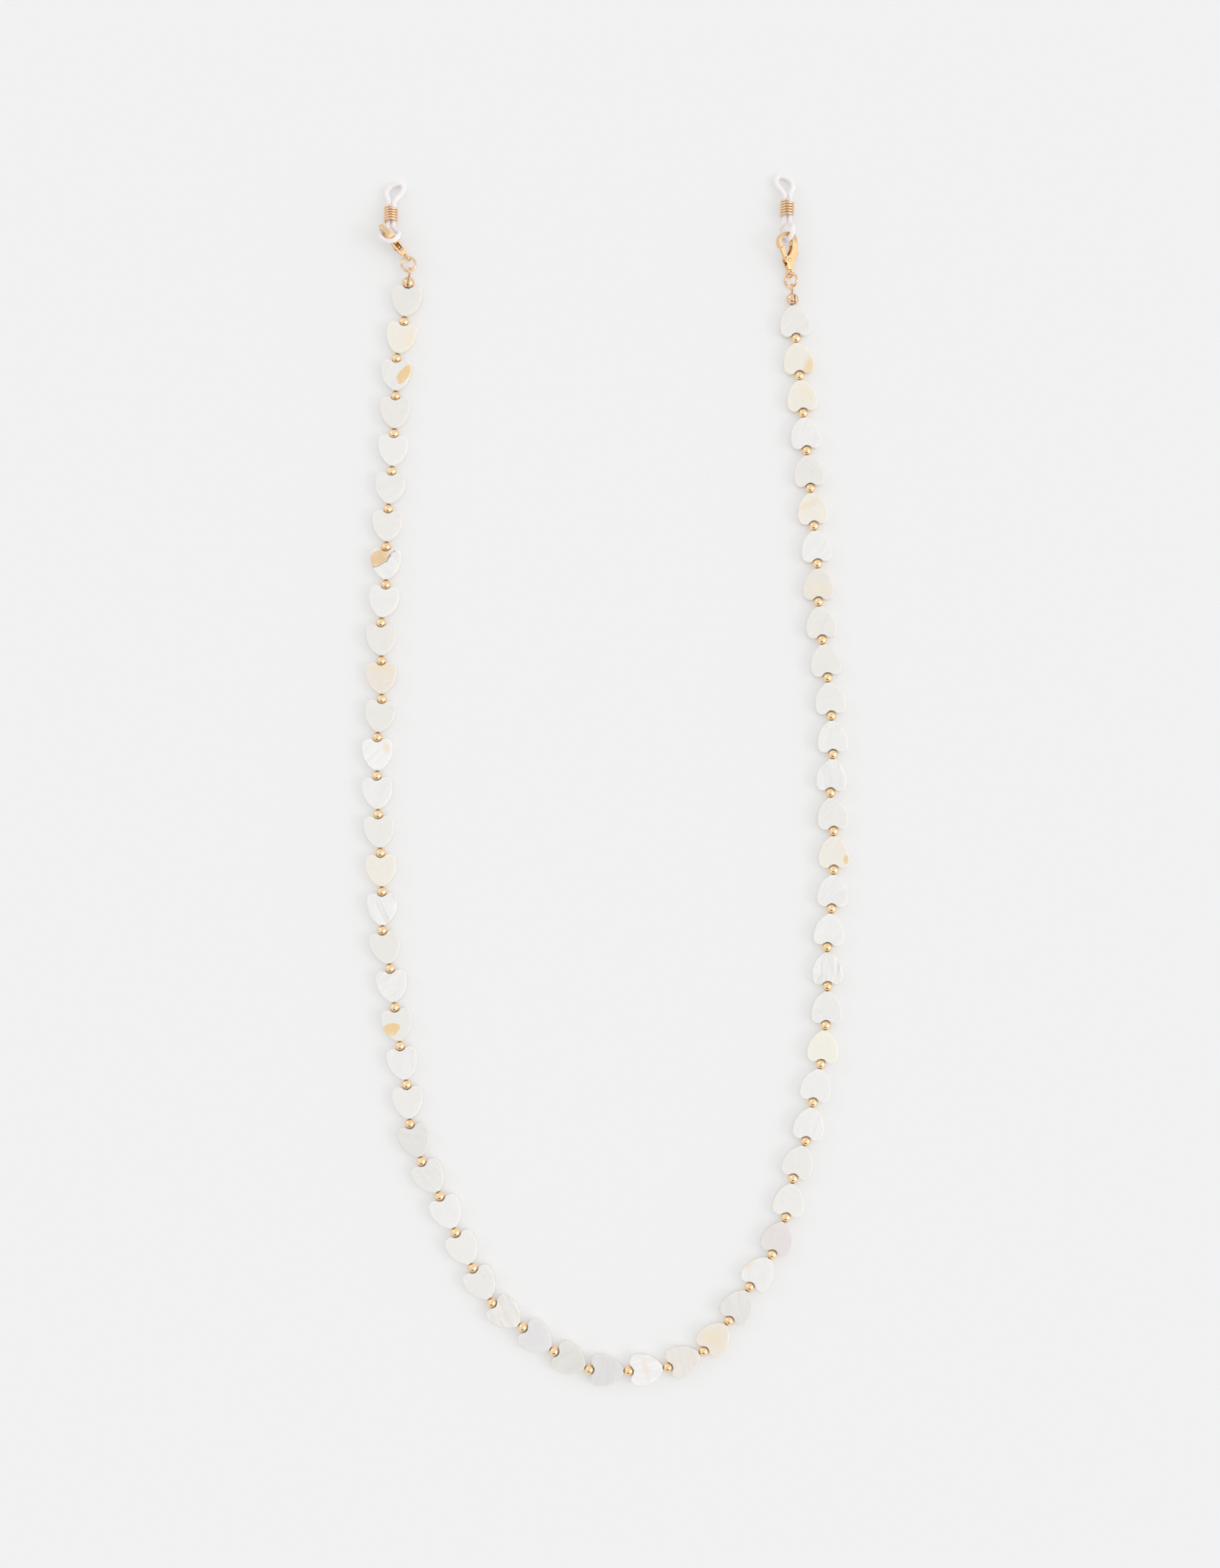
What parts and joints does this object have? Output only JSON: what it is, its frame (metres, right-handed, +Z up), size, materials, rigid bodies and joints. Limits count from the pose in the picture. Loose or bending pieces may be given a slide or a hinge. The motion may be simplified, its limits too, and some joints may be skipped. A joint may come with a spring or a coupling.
{
  "type": "eyeglasses chain strap",
  "caption": "Beaded eyeglasses strap of flat shell hearts and small gold balls on a cord, with a lobster clasp and a silicone temple loop in a sliding coil at each end.",
  "frame": {"origin": "centre of the bounding box on the floor that the strap lies on", "axes": "+Z up from the floor, +Y from the bottom of the bend towards the two ends, +X to the right seen from above"},
  "size_m": [0.1522, 0.3811, 0.0087],
  "materials": {
    "nacre": "polished mother-of-pearl shell",
    "gold": "polished gold plating",
    "cord": "white nylon cord",
    "silicone": "translucent milky silicone"
  },
  "bodies": {
    "center": {"center_hearts": "nacre", "center_balls": "gold", "center_cord": "cord"},
    "left_1": {"left_1_hearts": "nacre", "left_1_balls": "gold", "left_1_cord": "cord"},
    "left_2": {"left_2_hearts": "nacre", "left_2_balls": "gold", "left_2_cord": "cord"},
    "left_3": {"left_3_hearts": "nacre", "left_3_balls": "gold", "left_3_cord": "cord"},
    "left_4": {"left_4_hearts": "nacre", "left_4_balls": "gold", "left_4_cord": "cord"},
    "left_5": {"left_5_hearts": "nacre", "left_5_balls": "gold", "left_5_cord": "cord"},
    "left_6": {"left_6_hearts": "nacre", "left_6_balls": "gold", "left_6_cord": "cord", "left_crimp": "gold"},
    "right_1": {"right_1_hearts": "nacre", "right_1_balls": "gold", "right_1_cord": "cord"},
    "right_2": {"right_2_hearts": "nacre", "right_2_balls": "gold", "right_2_cord": "cord"},
    "right_3": {"right_3_hearts": "nacre", "right_3_balls": "gold", "right_3_cord": "cord"},
    "right_4": {"right_4_hearts": "nacre", "right_4_balls": "gold", "right_4_cord": "cord"},
    "right_5": {"right_5_hearts": "nacre", "right_5_balls": "gold", "right_5_cord": "cord"},
    "right_6": {"right_6_hearts": "nacre", "right_6_balls": "gold", "right_6_cord": "cord", "right_crimp": "gold"},
    "left_bead_tip": {"left_bead_tip": "gold"},
    "left_jump_ring": {"left_jump_ring": "gold"},
    "left_clasp": {"left_clasp_body": "gold", "left_clasp_rivet": "gold", "left_clasp_spring": "gold"},
    "left_lever": {"left_clasp_lever": "gold"},
    "left_loop": {"left_temple_loop": "silicone"},
    "left_coil": {"left_slide_coil": "gold"},
    "right_bead_tip": {"right_bead_tip": "gold"},
    "right_jump_ring": {"right_jump_ring": "gold"},
    "right_clasp": {"right_clasp_body": "gold", "right_clasp_rivet": "gold", "right_clasp_spring": "gold"},
    "right_lever": {"right_clasp_lever": "gold"},
    "right_loop": {"right_temple_loop": "silicone"},
    "right_coil": {"right_slide_coil": "gold"}
  },
  "joints": [
    {"name": "left_bend_1", "type": "hinge", "parent": "center", "child": "left_1", "pos_m": [-0.02528, -0.17275, 0.0016], "axis": [0, 0, 1], "range_deg": [-15, 20]},
    {"name": "left_bend_2", "type": "hinge", "parent": "left_1", "child": "left_2", "pos_m": [-0.05671, -0.12212, 0.0016], "axis": [0.9205, 0.3907, 0], "range_deg": [-30, 30]},
    {"name": "left_bend_3", "type": "hinge", "parent": "left_2", "child": "left_3", "pos_m": [-0.06688, -0.06261, 0.0016], "axis": [0, 0, 1], "range_deg": [-20, 20]},
    {"name": "left_bend_4", "type": "hinge", "parent": "left_3", "child": "left_4", "pos_m": [-0.0714, -0.00238, 0.0016], "axis": [0.9998, 0.0175, 0], "range_deg": [-30, 30]},
    {"name": "left_bend_5", "type": "hinge", "parent": "left_4", "child": "left_5", "pos_m": [-0.06909, 0.05801, 0.0016], "axis": [0, 0, 1], "range_deg": [-20, 20]},
    {"name": "left_bend_6", "type": "hinge", "parent": "left_5", "child": "left_6", "pos_m": [-0.06687, 0.10638, 0.0016], "axis": [0.999, -0.0436, 0], "range_deg": [-30, 30]},
    {"name": "right_bend_1", "type": "hinge", "parent": "center", "child": "right_1", "pos_m": [0.03041, -0.17998, 0.0016], "axis": [0, 0, 1], "range_deg": [-20, 15]},
    {"name": "right_bend_2", "type": "hinge", "parent": "right_1", "child": "right_2", "pos_m": [0.0582, -0.12732, 0.0016], "axis": [0.9659, -0.2588, 0], "range_deg": [-30, 30]},
    {"name": "right_bend_3", "type": "hinge", "parent": "right_2", "child": "right_3", "pos_m": [0.06919, -0.06804, 0.0016], "axis": [0, 0, 1], "range_deg": [-20, 20]},
    {"name": "right_bend_4", "type": "hinge", "parent": "right_3", "child": "right_4", "pos_m": [0.07056, -0.00763, 0.0016], "axis": [1, 0, 0], "range_deg": [-30, 30]},
    {"name": "right_bend_5", "type": "hinge", "parent": "right_4", "child": "right_5", "pos_m": [0.06719, 0.05267, 0.0016], "axis": [0, 0, 1], "range_deg": [-20, 20]},
    {"name": "right_bend_6", "type": "hinge", "parent": "right_5", "child": "right_6", "pos_m": [0.06381, 0.10097, 0.0016], "axis": [0.9962, 0.0872, 0], "range_deg": [-30, 30]},
    {"name": "left_tip_tilt", "type": "hinge", "parent": "left_6", "child": "left_bead_tip", "pos_m": [-0.0626, 0.15509, 0.00195], "axis": [0, 0, 1], "range_deg": [-12, 12]},
    {"name": "left_ring_swing", "type": "hinge", "parent": "left_bead_tip", "child": "left_jump_ring", "pos_m": [-0.06218, 0.15902, 0.00195], "axis": [-0.9781, -0.2079, 0], "range_deg": [-25, 25]},
    {"name": "left_clasp_swing", "type": "hinge", "parent": "left_jump_ring", "child": "left_clasp", "pos_m": [-0.0631, 0.16332, 0.00195], "axis": [-0.9781, -0.2079, 0], "range_deg": [-20, 20]},
    {"name": "left_lever_open", "type": "hinge", "parent": "left_clasp", "child": "left_lever", "pos_m": [-0.06591, 0.16649, 0.00261], "axis": [0.749, 0.6626, 0], "range_deg": [0, 18], "stiffness_Nm_per_rad": 0.001, "springref_deg": -2.86, "deforming": ["left_clasp_spring"]},
    {"name": "left_loop_swing", "type": "hinge", "parent": "left_clasp", "child": "left_loop", "pos_m": [-0.07014, 0.17128, 0.00416], "axis": [0, 0, 1], "range_deg": [-2.5, 8]},
    {"name": "left_coil_slide", "type": "slide", "parent": "left_loop", "child": "left_coil", "axis": [0, 0.989, -0.1478], "range_m": [-0.0007, 0.001]},
    {"name": "right_tip_tilt", "type": "hinge", "parent": "right_6", "child": "right_bead_tip", "pos_m": [0.05954, 0.14979, 0.00195], "axis": [0, 0, 1], "range_deg": [-12, 12]},
    {"name": "right_ring_swing", "type": "hinge", "parent": "right_bead_tip", "child": "right_jump_ring", "pos_m": [0.0594, 0.15374, 0.00195], "axis": [-0.8011, -0.1126, -0.5878], "range_deg": [-25, 25]},
    {"name": "right_clasp_swing", "type": "hinge", "parent": "right_jump_ring", "child": "right_clasp", "pos_m": [0.05879, 0.1581, 0.00195], "axis": [-0.8011, -0.1126, -0.5878], "range_deg": [-20, 20]},
    {"name": "right_lever_open", "type": "hinge", "parent": "right_clasp", "child": "right_lever", "pos_m": [0.05803, 0.16224, 0.00276], "axis": [-0.4854, 0.0805, -0.8706], "range_deg": [0, 18], "stiffness_Nm_per_rad": 0.001, "springref_deg": -2.86, "deforming": ["right_clasp_spring"]},
    {"name": "right_loop_swing", "type": "hinge", "parent": "right_clasp", "child": "right_loop", "pos_m": [0.05721, 0.16837, 0.00378], "axis": [0.4854, -0.0805, 0.8706], "range_deg": [-12, 12]},
    {"name": "right_coil_slide", "type": "slide", "parent": "right_loop", "child": "right_coil", "axis": [0.0349, 0.9994, 0], "range_m": [-0.001, 0.001]}
  ]
}
